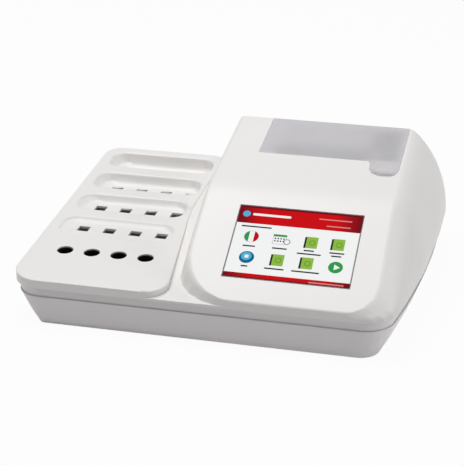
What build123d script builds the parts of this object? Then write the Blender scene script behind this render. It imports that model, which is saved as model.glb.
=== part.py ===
"""Bench analyser for edible oils: a low cell deck on the left, a sloping display and printer pod on the
right, both on a tub with leaning walls.

Millimetres. X runs to the right, Y to the back, Z up. The origin is on the table, under the middle of
the body. Each function makes one piece, and the table at the end names the pieces. Cell deck sizes are
counted from the left and front edges of the body, printer and connector sizes from its right and rear.
"""
from build123d import *
from math import acos, asin, atan, cos, degrees, pi, radians, sin, sqrt, tan
import os

# Body
body_width = 353.0
body_depth = 292.0
foot_drop = 1.5              # the tub's floor stands this far above the table
shoulder_z = 26.0            # small ledge round the tub
parting_z = 34.0             # joint between the tub and what it carries
wall = 2.5                   # wall of the mouldings
floor_thickness = 3.0        # floor of the tub
fit_gap = 0.3                # play between pieces that are pushed together
seat_gap = 0.1               # play between pieces that are screwed face to face
bore_play = 0.05             # play of a pin or shaft in its bore
press_play = 0.02            # play of a piece that is glued or pressed in

# Plan of the body
front_left_radius = 26.0
rear_left_radius = 18.0
rear_right_radius = 34.0
front_right_radius = 30.0
flank_radius = 1070.0        # the right flank bows out on this radius
flank_straight = 86.0        # and runs straight for this far at the rear

# Hull of the tub
left_lean = 26.0             # how far each wall comes in at the floor
right_lean = 11.5
front_lean = 0.0
rear_lean = 12.0
lean_power = 1.4             # how late the walls start to lean
floor_corner = 6.0           # plan radius of the hull's left corners at the floor
floor_right_corner = 18.0    # and of its right corners
ledge_width = 1.2
hull_reveal = 0.6            # the hull stays this far inside the skirt above it

# Cell deck
deck_front_z = 42.5
deck_rear_z = 59.0
deck_edge = 1.0              # chamfer round the deck
deck_front_width = 142.3     # from the body's left edge to the deck's right one, at the front
deck_waist_width = 122.0     # at the waist
deck_rear_width = 123.5      # and at the rear
deck_waist = 160.0           # from the front to the waist
deck_waist_radius = 300.0
deck_front_corner = 20.0
deck_rear_corner = 12.0
valley_front_z = 36.0        # floor of the valley between deck and pod, at the front
valley_slope = 5.07          # angle at which it climbs
valley_depth = 1.2           # least depth of the valley under the deck

# Wells
column_pitch = 25.0
column_count = 4
first_column = 32.7          # from the body's left edge
incubation_rows = 4
reading_row = 58.6           # from the front to the row of round wells
rear_row = 29.4              # from the last row to the rear
window_size = 10.8           # square window over each incubation well
reading_hole_radius = 7.4
reading_bore_radius = 6.4
trough_floor_z = 45.2
trough_width = 34.0
trough_start = 12.0          # from the body's left edge to a trough's left end
trough_end = 9.4             # from the last column to its right end
trough_corner = 13.0
trough_left_lean = 13.0      # how far each side of a trough comes in at its floor
trough_right_lean = 2.0
trough_front_lean = 2.0
trough_back_lean = 7.0
trough_power = 2.2           # how hollow these sides are
trough_lip = 1.6             # rounding of the mouth
tray_rim = 1.4               # flat rim of a tray beyond the rounded mouth
strip_thickness = 2.2        # floor of a trough
bezel_depth = 25.0           # square plates round the round wells, from front to back

# Pod
pod_width = 212.0            # from the foot of the pod's left wall to the body's right edge
pod_left_lean = 9.0          # how far this wall comes in under the roof
pod_left_radius = 54.0
pod_rear_left_radius = 14.0
roof_left_radius = 50.0      # the roof's own corners
roof_right_radius = 28.0
roof_rear_left_radius = 10.0
roof_rear_right_radius = 22.0
crease_front = 31.5          # from the body's right edge to the roof's crease, at the front
crease_rear = 37.0           # and at the rear
crease_angle = 33.0          # the flank falls away from the crease at this angle
crease_round = 2.5
left_round = 5.0
panel_lip = 1.3              # bevel along the panel's front edge
panel_angle = 26.5           # slope of the display panel
panel_length = 113.8         # from the front to the lid plane
roof_angle = 9.0             # slope of the lid plane
roof_end = 45.0              # from the rear edge of the lid plane to the rear
roof_bend = 80.0             # radius between the two slopes
rear_straight_z = 56.0       # the rounded back becomes vertical here

# Display
screen_width = 110.3
screen_height = 82.0
screen_right = 112.3         # from the body's right edge to the middle of the screen
screen_front = 59.4          # from the front to the middle of the screen
screen_sink = 0.3            # the glass lies this far under the panel
glass_thickness = 1.2
glass_corner = 1.0
lcd_margin = 5.0             # the display module is wider than its window by this much all round
lcd_thickness = 6.0
gasket_width = 3.5
gasket_thickness = 0.8
bracket_thickness = 1.5
bracket_overlap = 10.0       # the bracket's opening is smaller than the screen by this much all round
bracket_corner = 4.0
panel_boss_radius = 3.0
panel_screw_radius = 1.25
panel_screw_length = 5.5
panel_head_radius = 2.6
panel_head_height = 1.8

# Printer lid
lid_width = 131.7
lid_inset = 37.6             # from the body's right edge to the lid
lid_length = 82.0            # from its front edge to the hinge
tongue_width = 26.2
tongue_length = 15.6
lid_thickness = 2.2
lid_gap = 0.5                # slit all round the lid
lid_ledge = 3.0              # the lid rests on a ledge this wide
hinge_setback = 30.0         # from the hinge to the rear
hinge_depth = 6.7            # from the roof down to the hinge
hinge_barrel_radius = 3.6
hinge_pin_radius = 1.2
hinge_sweep = 7.6            # the lid's rear flange ends on this radius round the hinge
hinge_relief = 8.2           # and the cover is cut away to this one
hinge_ear_width = 4.2
hinge_ear_reach = 5.0        # from the pin to the front and the foot of an ear
knuckle_length = 15.5
web_front = 2.5              # the knuckles' webs, from the pin to the front and to the back
web_back = 3.5
scoop_radius = 12.5
scoop_depth = 5.5
scoop_overlap = 0.6          # from the tongue's front edge to the middle of the scoop

# Paper and printer
roll_width = 79.5
roll_radius = 20.0
roll_left = 57.3             # from the lid's left edge to the middle of the roll
core_radius = 7.5
core_wall = 1.5
cradle_radius = 22.5
cradle_end_play = 0.5
slot_margin = 2.0            # the paper slot is wider than the roll by this much on each side
cradle_reach = 36.0          # from the lid's front edge to the roll's axis
cradle_depth = 29.0          # from the lid down to the cradle's axis
tray_wall = 2.0
tray_length = 66.0
shelf_setback = 6.0          # from the motor's plate to the shelf's right end
paper_gate_n = -20.0         # lower edge of the gap that lets the paper out of the cradle
shelf_depth = 24.5           # from the lid down to the shelf of the print unit
platen_radius = 5.0
platen_reach = 9.4
platen_depth = 12.0
platen_shaft_radius = 2.0
gear_module = 0.8
platen_teeth = 20
pinion_teeth = 14
mesh_angle = -45.0           # direction from the platen's gear to the pinion
gear_width = 5.0
tooth_backlash = 0.12
flank_steps = 3
gear_play = 1.0              # between the right cheek and the gears
motor_play = 0.5             # between the gears and the motor's plate
sheet = 1.5                  # sheet metal of the printer's frame
frame_margin_left = 5.75     # from the roll's ends to the frame's cheeks
frame_margin_right = 4.25
base_width = 11.2
cheek_top_n = -7.2
motor_radius = 12.0
motor_length = 16.5
motor_shaft_radius = 1.0
head_gap = 0.3
head_thickness = 1.2
head_height = 15.3
bar_thickness = 0.4
bar_height = 12.0            # from the lid down to the bar's lower edge, its notches and its points
bar_root_depth = 3.8
bar_tip_depth = 2.7
bar_teeth = 26
sink_ribs = 9

# Screws from below that hold the deck and the pod on the tub
deck_screws = [(32.0, 20.0), (104.5, 20.0)]    # from the left and the front
pod_front_screws = [144.0, 66.0]    # from the right
pod_screw_front = 9.0        # from the front
pod_rear_screws = [(40.0, 34.0), (198.0, 24.0)]    # from the right and the rear
boss_radius = 5.2
cover_boss_radius = 4.2
boss_drop = 2.0              # the tub's bosses end this far under the joint
screw_head_radius = 3.0
screw_head_height = 2.2
screw_radius = 1.5
screw_seat_z = 23.0
screw_tip_z = 39.0

# Rear connectors, in a recess of the tub
recess_inset = 74.0          # from the body's right edge to the recess
recess_width = 104.0
recess_low_z = 8.0
recess_high_z = 25.0
recess_depth = 16.0          # from the rear
connector_z = 16.5
jack_offset = 16.0           # from the recess's left end to each connector
switch_offset = 50.0
usb_offset = 84.0
jack_radius = 5.4
jack_length = 12.0
jack_flange = 1.8
jack_bore = 3.2
jack_bore_depth = 8.0
switch_width = 19.2
switch_height = 13.0
switch_rim = 1.3
switch_length = 14.0
switch_cavity_depth = 9.0
rocker_tilt = 8.0
rocker_width = 14.4
rocker_height = 9.0
rocker_play = 0.8
rocker_pin_radius = 1.0
rocker_pin_length = 1.0
rocker_depth = 3.0           # from the recess wall in to the pin
rocker_rise = 3.2            # and out to the rocker's ends
usb_width = 14.4
usb_height = 7.0
usb_sheet = 0.9
usb_length = 13.0
usb_tongue = 1.8

# Feet and vents
foot_radius = 8.0
foot_seat = 1.0
foot_front = 24.0            # from each side of the body to the feet
foot_rear = 34.0
foot_left = 50.0
foot_right = 66.0
vent_count = 8
vent_pitch = 10.0
vent_width = 3.0
vent_length = 36.0

# Heated rails and the reading cells under the deck
pad_z = 11.0
pad_thickness = 1.0
plate_thickness = 2.0
plate_margin = 2.0
plate_corner = 6.5           # from the plate's corner to its posts
plate_post_width = 6.0
rail_half_width = 9.0
rail_end = 9.7               # from a well's middle to each end of its block
well_floor_z = 17.0
well_play = 0.2
cell_half_depth = 13.0
cell_half_width = 12.3
cell_low_z = 12.0
cell_top_z = 41.9
bore_floor_z = 15.0
beam_z = 24.0
beam_width = 3.0
chip_width = 5.0
chip_depth = 3.0
optic_board_thickness = 1.6
collar_wall = 0.7
cell_rib = 3.0                # the cells stand on two ribs of this width
collar_top_z = 45.1

# Main board
board_width = 128.0
board_length = 134.0
board_inset = 50.0           # from the body's right edge to the board
board_setback = 68.0         # from the recess to the board
board_z = 11.0
board_thickness = 1.6
board_corner = 5.0           # from the board's corner to its screws
board_post_width = 7.0
board_screw_radius = 1.2
board_head_radius = 2.8
board_head_height = 1.8
board_blocks = [             # place on the board, width, depth and height
    (48, 52, 22, 22, 2.4), (80, 56, 12, 12, 1.6), (80, 72, 12, 12, 1.6), (12, 92, 18, 16, 12.0),
    (14, 6, 40, 6, 6.0), (66, 6, 40, 6, 6.0), (3, 42, 6, 40, 6.0), (104, 96, 18, 20, 9.0),
]
board_cans = [(44, 116, 4, 11.0), (55, 116, 4, 11.0), (66, 116, 4, 11.0)]

# Places that follow from these sizes
left_x = -body_width / 2
right_x = body_width / 2
front_y = -body_depth / 2
rear_y = body_depth / 2
floor_z = foot_drop + floor_thickness
plenty = 2 * (body_width + body_depth)
flank_bend_y = rear_y - flank_straight
deck_angle = degrees(atan((deck_rear_z - deck_front_z) / body_depth))
column_xs = [left_x + first_column + column_pitch * column for column in range(column_count)]
reading_y = front_y + reading_row
row_pitch = (rear_y - rear_row - reading_y) / incubation_rows
incubation_ys = [reading_y + row_pitch * (row + 1) for row in range(incubation_rows)]
pod_left = right_x - pod_width
roof_left = pod_left + pod_left_lean
panel_front_y = front_y + panel_lip
panel_top_y = front_y + panel_length
roof_top_y = rear_y - roof_end
screen_x = right_x - screen_right
screen_y = front_y + screen_front
hinge_y = rear_y - hinge_setback
lid_front_y = hinge_y - lid_length
lid_right = right_x - lid_inset
lid_left = lid_right - lid_width
tongue_left = lid_right - tongue_width
tongue_y = lid_front_y - tongue_length
roll_x = lid_left + roll_left
recess_y = rear_y - recess_depth
recess_right = right_x - recess_inset
recess_left = recess_right - recess_width
jack_x = recess_left + jack_offset
switch_x = recess_left + switch_offset
usb_x = recess_left + usb_offset
boss_top = parting_z - boss_drop

# Roof line of the pod, seen from the side
panel_top_z = deck_front_z + (panel_top_y - panel_front_y) * tan(radians(panel_angle))
roof_top_z = panel_top_z + (roof_top_y - panel_top_y) * tan(radians(roof_angle))
bend_length = roof_bend * tan(radians((panel_angle - roof_angle) / 2))
bend_start_y = panel_top_y - bend_length * cos(radians(panel_angle))
bend_end_y = panel_top_y + bend_length * cos(radians(roof_angle))
bend_centre_y = bend_start_y + roof_bend * sin(radians(panel_angle))
bend_centre_z = panel_top_z - bend_length * sin(radians(panel_angle)) - roof_bend * cos(radians(panel_angle))
rear_drop = roof_top_z - rear_straight_z
rear_radius = (roof_end**2 + rear_drop**2) / (2 * roof_end)
rear_centre_y = rear_y - rear_radius


def roof_height(y):
    """Height of the pod's flat roof over the table."""
    if y < panel_front_y:
        return deck_front_z - (panel_front_y - y)
    if y < bend_start_y:
        return deck_front_z + (y - panel_front_y) * tan(radians(panel_angle))
    if y < bend_end_y:
        return bend_centre_z + sqrt(roof_bend**2 - (y - bend_centre_y) ** 2)
    if y < roof_top_y:
        return panel_top_z + (y - panel_top_y) * tan(radians(roof_angle))
    return rear_straight_z + sqrt(max(rear_radius**2 - (y - rear_centre_y) ** 2, 0.0))


def tilted_plane(x, y, z, angle):
    """A plane through a point that climbs to the back at the given angle."""
    turn = radians(angle)
    return Plane(origin=(x, y, z), x_dir=(1, 0, 0), z_dir=(0, -sin(turn), cos(turn)))


deck_plane = tilted_plane(0, front_y, deck_front_z, deck_angle)
valley_plane = tilted_plane(0, front_y, valley_front_z, valley_slope)
panel_frame = tilted_plane(screen_x, screen_y, roof_height(screen_y), panel_angle)
lid_frame = tilted_plane(0, lid_front_y, roof_height(lid_front_y), roof_angle)
hinge_z = roof_height(hinge_y) - hinge_depth
LOW = (Align.MIN, Align.MIN, Align.MIN)
STANDING = (Align.CENTER, Align.CENTER, Align.MIN)
HANGING = (Align.CENTER, Align.CENTER, Align.MAX)


def block(x0, x1, y0, y1, z0, z1):
    """A box between two corners."""
    return Pos(x0, y0, z0) * Box(x1 - x0, y1 - y0, z1 - z0, align=LOW)


def rod(radius, x0, x1, y, z):
    """A cylinder along X."""
    return Pos(x0, y, z) * Rot(0, 90, 0) * Cylinder(radius, x1 - x0, align=STANDING)


def post(radius, x, y, z0, z1):
    """An upright cylinder."""
    return Pos(x, y, z0) * Cylinder(radius, z1 - z0, align=STANDING)


def rod_y(radius, x, z, y0, y1):
    """A cylinder along Y."""
    return Pos(x, y0, z) * Rot(-90, 0, 0) * Cylinder(radius, y1 - y0, align=STANDING)


def slot_face(left, right, front, back, radius):
    """A rectangle with round corners."""
    corners = [(left, front), (left, back), (right, back), (right, front)]
    return make_face(FilletPolyline(*corners, radius=radius, close=True))


def body_outline(left, right, front, rear, radii):
    """Plan of the body between four sides, with its bowed right flank and round corners."""
    front_left, rear_left, rear_right, front_right = radii
    corner_y = front + front_right
    flank_x = right - flank_radius
    reach = flank_radius - front_right
    corner_x = flank_x + sqrt(reach**2 - (flank_bend_y - corner_y) ** 2)
    turn = degrees(asin((flank_bend_y - corner_y) / reach))
    return make_face(Wire([
        Line((left, front + front_left), (left, rear - rear_left)),
        CenterArc((left + rear_left, rear - rear_left), rear_left, 180, -90),
        Line((left + rear_left, rear), (right - rear_right, rear)),
        CenterArc((right - rear_right, rear - rear_right), rear_right, 90, -90),
        Line((right, rear - rear_right), (right, flank_bend_y)),
        CenterArc((flank_x, flank_bend_y), flank_radius, 0, -turn),
        CenterArc((corner_x, corner_y), front_right, -turn, turn - 90),
        Line((corner_x, front), (left + front_left, front)),
        CenterArc((left + front_left, front + front_left), front_left, -90, -90),
    ]))


def hull_outline(z, inset):
    """Plan of the tub's leaning walls at height z."""
    share = ((parting_z - z) / (parting_z - foot_drop)) ** lean_power
    left_corner = front_left_radius + (floor_corner - front_left_radius) * share
    rear_corner = rear_left_radius + (floor_corner - rear_left_radius) * share
    rear_right = rear_right_radius + (floor_right_corner - rear_right_radius) * share
    front_right = front_right_radius + (floor_right_corner - front_right_radius) * share
    return Pos(0, 0, z) * body_outline(
        left_x + inset + left_lean * share,
        right_x - inset - right_lean * share,
        front_y + inset + front_lean * share,
        rear_y - inset - rear_lean * share,
        [radius - inset for radius in (left_corner, rear_corner, rear_right, front_right)],
    )


def hull(inset, low_z, high_z):
    """The tub's outer form, moved in by inset: leaning walls, and a ledge below the upper band."""
    middle_z = low_z + 0.45 * (shoulder_z - low_z)
    lower = loft([hull_outline(z, hull_reveal + inset) for z in (low_z, middle_z, shoulder_z)], ruled=True)
    band_inset = hull_reveal + ledge_width + inset
    band = loft([hull_outline(z, band_inset) for z in (shoulder_z - 0.01, parting_z)], ruled=True)
    if high_z > parting_z:
        band += extrude(hull_outline(parting_z, band_inset), high_z - parting_z)
    return lower + band


def right_edge(y, inset=0.0):
    """X of the body's right edge at y."""
    right = right_x - inset
    radius = front_right_radius - inset
    corner_y = front_y + front_right_radius
    flank_x = right_x - flank_radius
    reach = flank_radius - front_right_radius
    corner_x = flank_x + sqrt(reach**2 - (flank_bend_y - corner_y) ** 2)
    if y < corner_y - radius * (flank_bend_y - corner_y) / reach:
        return corner_x + sqrt(max(radius**2 - (corner_y - y) ** 2, 0.0))
    if y < flank_bend_y:
        return flank_x + sqrt((flank_radius - inset) ** 2 - (flank_bend_y - y) ** 2)
    rear_corner_y = rear_y - rear_right_radius
    if y > rear_corner_y:
        radius = rear_right_radius - inset
        return right_x - rear_right_radius + sqrt(max(radius**2 - (y - rear_corner_y) ** 2, 0.0))
    return right


def rounded_side(y, side, front_radius, back_radius, inset, direction):
    """X of an upright side with rounded ends, for y in the body. direction is 1 for a left side."""
    front_centre = front_y + front_radius
    back_centre = rear_y - back_radius
    if y < front_centre:
        reach = sqrt(max((front_radius - inset) ** 2 - (front_centre - y) ** 2, 0.0))
        return side + direction * (front_radius - reach)
    if y > back_centre:
        reach = sqrt(max((back_radius - inset) ** 2 - (y - back_centre) ** 2, 0.0))
        return side + direction * (back_radius - reach)
    return side + direction * inset


def section_frame(y, inset):
    """Left foot, left and right ends of the roof, right foot and roof height of the pod at y."""
    rise = (roof_height(y + 0.05) - roof_height(y - 0.05)) / 0.1
    top = roof_height(y) - inset * sqrt(1 + rise**2)
    share = (y - front_y) / body_depth
    crease = right_x - crease_front - (crease_rear - crease_front) * share
    foot_left = rounded_side(y, pod_left, pod_left_radius, pod_rear_left_radius, inset, 1)
    foot_right = right_edge(y, inset)
    flat_left = rounded_side(y, roof_left, roof_left_radius, roof_rear_left_radius, 0, 1)
    flat_right = rounded_side(y, crease, roof_right_radius, roof_rear_right_radius, 0, -1)
    flat_left = max(flat_left, foot_left + 2.0)
    flat_right = min(flat_right, foot_right - 4.0)
    return foot_left, flat_left, flat_right, foot_right, top


def flank_curve(flat_right, foot_right, top, low_z):
    """Control points of the flank, from the end of the crease down to the foot."""
    height = top - low_z
    corner = min(crease_round, 0.25 * height)
    angle = radians(crease_angle)
    start = (flat_right + corner * cos(angle), top - corner * sin(angle))
    reach = 0.45 * (foot_right - flat_right)
    return [
        start,
        (start[0] + reach * cos(angle), start[1] - min(reach * sin(angle), 0.3 * height)),
        (foot_right, low_z + 0.5 * height),
        (foot_right, low_z),
    ]


def pod_section(y):
    """Upright slice across the pod: a steep left wall, the flat roof, a soft crease and the bowed flank."""
    foot_left, flat_left, flat_right, foot_right, top = section_frame(y, 0.0)
    height = top - parting_z
    roll = min(left_round, 0.25 * height)
    corner = min(crease_round, 0.25 * height)
    wall_top = (flat_left - (flat_left - foot_left) * roll / height, 0, top - roll)
    flank = [(x, 0, z) for x, z in flank_curve(flat_right, foot_right, top, parting_z)]
    return Pos(0, y, 0) * Face(Wire([
        Line((foot_left, 0, parting_z), wall_top),
        Bezier(wall_top, (flat_left, 0, top), (flat_left + roll, 0, top)),
        Line((flat_left + roll, 0, top), (flat_right - corner, 0, top)),
        Bezier((flat_right - corner, 0, top), (flat_right, 0, top), flank[0]),
        Bezier(*flank),
        Line((foot_right, 0, parting_z), (foot_left, 0, parting_z)),
    ]))


def curve_point(points, share):
    """A point on the cubic curve through these control points."""
    rest = 1 - share
    weights = (rest**3, 3 * rest**2 * share, 3 * rest * share**2, share**3)
    return tuple(sum(weight * point[axis] for weight, point in zip(weights, points)) for axis in (0, 1))


def hollow_section(y, low_z):
    """Slice across the room inside the pod, with straight sides that stay inside the wall."""
    foot_left, flat_left, flat_right, foot_right, top = section_frame(y, wall)
    flank = flank_curve(flat_right - wall, foot_right, top, low_z)
    outline = [(foot_left, low_z), (flat_left + wall, top), (flat_right - wall, top)]
    outline += [curve_point(flank, share) for share in (0.3, 0.65, 1.0)]
    return Pos(0, y, 0) * Face(Wire(Polyline(*[(x, 0, z) for x, z in outline], close=True)))


def pod_solid():
    """The pod as a closed body."""
    corner_steps = 6
    turns = [pi / 2 * step / corner_steps for step in range(corner_steps + 1)]
    stations = [front_y + pod_left_radius * (1 - cos(turn)) for turn in turns]
    bend = bend_end_y - bend_start_y
    stations += [bend_start_y, bend_start_y + bend / 3, bend_start_y + 2 * bend / 3, bend_end_y]
    stations += [flank_bend_y, roof_top_y]
    rear_steps = 6
    stations += [roof_top_y + roof_end * sin(pi / 2 * (step + 1) / rear_steps) for step in range(rear_steps)]
    return loft([pod_section(y) for y in stations], ruled=True)


def pod_hollow(low_z):
    """The room inside the pod's skin."""
    start = front_y + wall
    corner = pod_left_radius - wall
    stations = [start + corner * (1 - cos(angle)) for angle in (0, pi / 6, pi / 3, pi / 2)]
    stations += [bend_start_y, panel_top_y, bend_end_y, flank_bend_y, roof_top_y]
    reach = roof_end - wall
    stations += [roof_top_y + reach * sin(angle) for angle in (pi / 8, pi / 4, 3 * pi / 8, pi / 2)]
    return loft([hollow_section(y, low_z) for y in stations], ruled=True)


def under_roof(depth):
    """All that lies under the lid plane and inside the rounded back, moved in by depth."""
    below = lid_frame.offset(-depth) * Box(plenty, plenty, roof_top_z, align=HANGING)
    left = lid_left - hinge_ear_width - fit_gap - wall
    right = lid_right + hinge_ear_width + fit_gap + wall
    back = rod(rear_radius - depth, left, right, rear_centre_y, rear_straight_z)
    back += block(left, right, panel_top_y, rear_centre_y, rear_straight_z, roof_top_z + plenty)
    return below & back


def under_plane(face, low_z, plane):
    """A plan face raised from low_z to a tilted plane."""
    prism = extrude(Pos(0, 0, low_z) * face, roof_top_z - low_z)
    return prism - plane * Box(plenty, plenty, plenty, align=STANDING)


def deck_height(y):
    """Height of the deck's surface over the table."""
    return deck_front_z + (y - front_y) * tan(radians(deck_angle))


def deck_outline(inset):
    """Plan of the deck, moved in by inset."""
    left = left_x + inset
    front = front_y + inset
    back = rear_y - inset
    corners = [
        (left, front),
        (left, back),
        (left_x + deck_rear_width - inset, back),
        (left_x + deck_waist_width - inset, front_y + deck_waist),
        (left_x + deck_front_width - inset, front),
    ]
    radii = [
        front_left_radius - inset,
        rear_left_radius - inset,
        deck_rear_corner - inset,
        deck_waist_radius,
        deck_front_corner - inset,
    ]
    return make_face(FilletPolyline(*corners, radius=radii, close=True))


def plinth_outline(inset):
    """Plan of the valley floor, from under the deck's edge to well inside the pod."""
    left = left_x + deck_waist_width - 2 * deck_front_corner
    right = pod_left + pod_left_radius + wall
    plan = Rectangle(right - left, body_depth - 2 * inset, align=(Align.MIN, Align.MIN))
    return Pos(left, front_y + inset) * plan


def trough_level(row_y, share, lift=0.0, grow=0.0):
    """Outline of a trough. share runs from 0 at its floor to 1 at its mouth, and lift and grow go beyond."""
    close = (1 - share) ** trough_power
    left = left_x + trough_start + trough_left_lean * close - grow
    right = column_xs[-1] + trough_end - trough_right_lean * close + grow
    front = -trough_width / 2 + trough_front_lean * close - grow
    back = trough_width / 2 - trough_back_lean * close + grow
    rise = deck_height(row_y) - trough_lip - trough_floor_z
    level = tilted_plane(0, row_y, trough_floor_z + rise * share + lift, deck_angle * share)
    return level * slot_face(left, right, front, back, trough_corner - 4.0 * close + grow)


def trough(row_y):
    """Pocket round one row of wells: hollow sides from the floor up, and a rounded mouth."""
    levels = [trough_level(row_y, share) for share in (0.0, 0.35, 1.0)]
    for lift, grow in ((0.55, 0.3), (1.3, 1.6)):
        levels.append(trough_level(row_y, 1.0, lift * trough_lip, grow * trough_lip))
    return loft(levels, ruled=True)


def tray_plan(row_y, play):
    """Plan of the tray round a trough, grown by play."""
    grow = tray_rim + trough_lip + play
    half = trough_width / 2 + grow
    left = left_x + trough_start - grow
    right = column_xs[-1] + trough_end + grow
    return Pos(0, row_y) * slot_face(left, right, -half, half, trough_corner + grow)


def lid_plan(grow, back):
    """Upright prism over the lid with its finger tongue, grown sideways, back to a given y."""
    left = lid_left - grow
    right = lid_right + grow
    front = lid_front_y - grow
    tongue_front = tongue_y - grow
    step_x = tongue_left - grow
    corners = [(left, front), (left, back), (right, back)]
    corners += [(right, tongue_front), (step_x, tongue_front), (step_x, front)]
    plan = make_face(FilletPolyline(*corners, radius=[2.0, 0, 0, 3.0, 3.0, 2.0], close=True))
    return extrude(Pos(0, 0, rear_straight_z) * plan, roof_top_z)


rail_left = column_xs[0] - rail_end
rail_right = column_xs[-1] + rail_end
plate_left = rail_left - plate_margin
plate_right = rail_right + plate_margin
plate_front = incubation_ys[0] - rail_half_width - plate_margin
plate_back = incubation_ys[-1] + rail_half_width + plate_margin
plate_low_z = pad_z + pad_thickness
rail_low_z = plate_low_z + plate_thickness
cell_left = column_xs[0] - cell_half_width
cell_right = column_xs[-1] + cell_half_width
cell_front = reading_y - cell_half_depth
cell_back = reading_y + cell_half_depth
board_right = right_x - board_inset
board_left = board_right - board_width
board_back = recess_y - board_setback
board_front = board_back - board_length
deck_points = [(left_x + x, front_y + y) for x, y in deck_screws]
deck_points.append((sum(column_xs) / column_count, (incubation_ys[2] + incubation_ys[3]) / 2))
pod_points = [(right_x - x, front_y + pod_screw_front) for x in pod_front_screws]
pod_points += [(right_x - x, rear_y - y) for x, y in pod_rear_screws]
foot_points = [(left_x + foot_left, front_y + foot_front), (left_x + foot_left, rear_y - foot_rear)]
foot_points += [(right_x - foot_right, front_y + foot_front), (right_x - foot_right, rear_y - foot_rear)]


def inner_corners(left, right, front, back, margin):
    """The four corners of a rectangle, moved in by margin."""
    return [(x, y) for x in (left + margin, right - margin) for y in (front + margin, back - margin)]


plate_posts = inner_corners(plate_left, plate_right, plate_front, plate_back, plate_corner)
board_posts = inner_corners(board_left, board_right, board_front, board_back, board_corner)


def panel_cutout(x, width, height):
    """A hole for a connector in the recess's back wall."""
    hole = Box(width + fit_gap, 6 * wall, height + fit_gap)
    return Pos(x, recess_y, connector_z) * hole


def pillar(x, y, width, high_z):
    """Square post on the tub's floor."""
    half = width / 2
    return block(x - half, x + half, y - half, y + half, floor_z - 0.5, high_z)


def make_base_tub():
    """Lower shell: leaning walls, a ledge, an upper band, bosses, posts, vents and the connector recess."""
    outer = hull(0.0, foot_drop, parting_z)
    tub = outer - hull(wall, floor_z, parting_z + 1)
    housing = block(
        recess_left - wall, recess_right + wall, recess_y - wall, rear_y, floor_z - 0.5, recess_high_z + wall
    )
    tub += housing & outer
    tub -= block(recess_left, recess_right, recess_y, rear_y + 1, recess_low_z, recess_high_z)
    for x, y in deck_points + pod_points:
        tub += post(boss_radius, x, y, floor_z - 0.5, boss_top)
    for x, y in plate_posts:
        tub += pillar(x, y, plate_post_width, plate_low_z)
    for x, y in board_posts:
        tub += pillar(x, y, board_post_width, board_z)
        tub -= post(board_screw_radius + bore_play, x, y, floor_z, board_z + 1)
    tub += block(column_xs[0], cell_right, cell_front, cell_front + cell_rib, floor_z - 0.5, cell_low_z)
    tub += block(column_xs[0], cell_right, cell_back - cell_rib, cell_back, floor_z - 0.5, cell_low_z)
    for x, y in deck_points + pod_points:
        tub -= post(screw_radius + fit_gap, x, y, 0, boss_top + 1)
        tub -= post(screw_head_radius + fit_gap, x, y, 0, screw_seat_z)
    for x, y in foot_points:
        tub -= post(foot_radius + fit_gap, x, y, 0, foot_drop + foot_seat)
    vents_left = (board_left + board_right - vent_pitch * (vent_count - 1) - vent_width) / 2
    for vent in range(vent_count):
        x = vents_left + vent_pitch * vent
        tub -= block(x, x + vent_width, -vent_length / 2, vent_length / 2, 0, floor_z + 1)
    tub -= rod_y(jack_radius + fit_gap / 2, jack_x, connector_z, recess_y - 2 * wall, recess_y + 1)
    tub -= panel_cutout(switch_x, switch_width, switch_height)
    tub -= panel_cutout(usb_x, usb_width, usb_height)
    return tub


def screw_boss(x, y, body):
    """Boss on the underside of a body, down to the tub's boss, with its pilot hole."""
    boss = post(cover_boss_radius, x, y, parting_z, plenty) & body
    boss += post(cover_boss_radius, x, y, boss_top + seat_gap, parting_z + 0.5)
    return boss


def make_cell_deck():
    """Left moulding: a sloping deck, open for the trays and bezels, with a skirt down to the tub."""
    outer = under_plane(deck_outline(0.0), parting_z, deck_plane)
    outer = chamfer(outer.faces().sort_by(Axis.Z)[-1].edges(), deck_edge)
    deck = outer - under_plane(deck_outline(wall), parting_z - 1, deck_plane.offset(-wall))
    for x, y in deck_points:
        deck += screw_boss(x, y, outer)
        deck -= post(screw_radius + bore_play, x, y, boss_top, screw_tip_z + 0.6)
    tray_low_z = trough_floor_z - strip_thickness - press_play
    for row_y in incubation_ys:
        deck -= extrude(Pos(0, 0, tray_low_z) * tray_plan(row_y, press_play), plenty)
    left = column_xs[0] - column_pitch / 2
    right = column_xs[-1] + column_pitch / 2
    front = reading_y - bezel_depth / 2
    return deck - block(left, right, front, front + bezel_depth, cell_top_z, plenty)


def make_trough_trays():
    """Four trays in the deck, each with a hollow trough and a row of square windows over its rail."""
    low_z = trough_floor_z - strip_thickness
    trays = []
    for row_y in incubation_ys:
        tray = under_plane(tray_plan(row_y, 0.0), low_z, deck_plane) - trough(row_y)
        for x in column_xs:
            tray -= Pos(x, row_y, trough_floor_z) * Box(window_size, window_size, 20)
        trays.append(tray)
    return Compound(children=trays)


def make_well_bezels():
    """Four square plates in the deck, each on its reading cell and round its collar."""
    plan = Rectangle(column_pitch - 2 * press_play, bezel_depth - 2 * press_play)
    bezels = []
    for x in column_xs:
        bezel = under_plane(Pos(x, reading_y) * plan, cell_top_z + seat_gap, deck_plane)
        bezels.append(bezel - post(reading_hole_radius, x, reading_y, cell_top_z, plenty))
    return Compound(children=bezels)


def valley(inset):
    """Floor of the valley as a body, from the deck's edge to under the pod, moved in by inset."""
    body = under_plane(plinth_outline(inset), parting_z - inset, valley_plane.offset(-inset))
    body &= under_plane(plinth_outline(inset), parting_z - inset, deck_plane.offset(-valley_depth - inset))
    return body


scoop_x = (tongue_left + lid_right) / 2
scoop_v = -(tongue_length + scoop_overlap) / cos(radians(roof_angle))


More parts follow.
